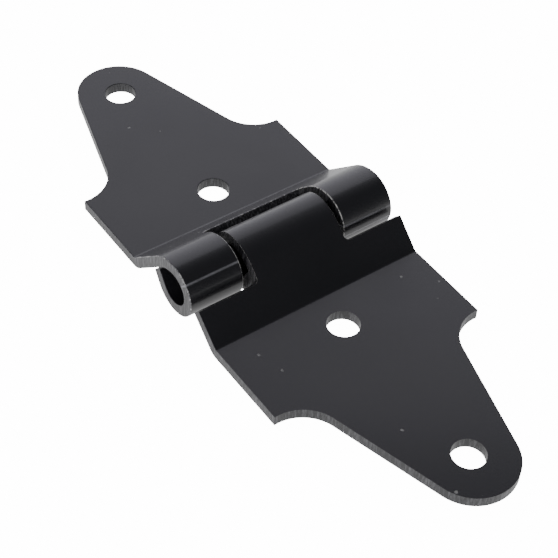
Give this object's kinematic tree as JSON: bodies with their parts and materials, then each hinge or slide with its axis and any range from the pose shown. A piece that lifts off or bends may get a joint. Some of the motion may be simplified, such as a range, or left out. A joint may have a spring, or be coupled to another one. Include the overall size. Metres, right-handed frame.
{
  "type": "strap hinge",
  "caption": "Black steel strap hinge: tapered, round-tipped leaves with bolt holes, ramped up to rolled knuckles that turn on a recessed pin, for hanging a gate, lid or door.",
  "frame": {"origin": "on the plane of the plates' backs, straight below the middle of the pin, with the hinge open flat", "axes": "+X from the pin along the centre leaf, +Y along the pin, +Z out of the plates' front faces, on the side the knuckles stand up"},
  "size_m": [0.1818, 0.0636, 0.0163],
  "materials": {
    "black_coated_steel": "satin black coating on pressed steel plate, glossier on the rolled knuckles and ramps",
    "dark_pin_steel": "dark oxide on plain round steel"
  },
  "bodies": {
    "fixed_strap": {"outer_leaf": "black_coated_steel", "hinge_pin": "dark_pin_steel"},
    "swinging_strap": {"centre_leaf": "black_coated_steel"}
  },
  "joints": [
    {"name": "leaf_swing", "type": "hinge", "parent": "fixed_strap", "child": "swinging_strap", "pos_m": [0, 0, 0.0083], "axis": [0, -1, 0], "range_deg": [-130, 140]}
  ]
}
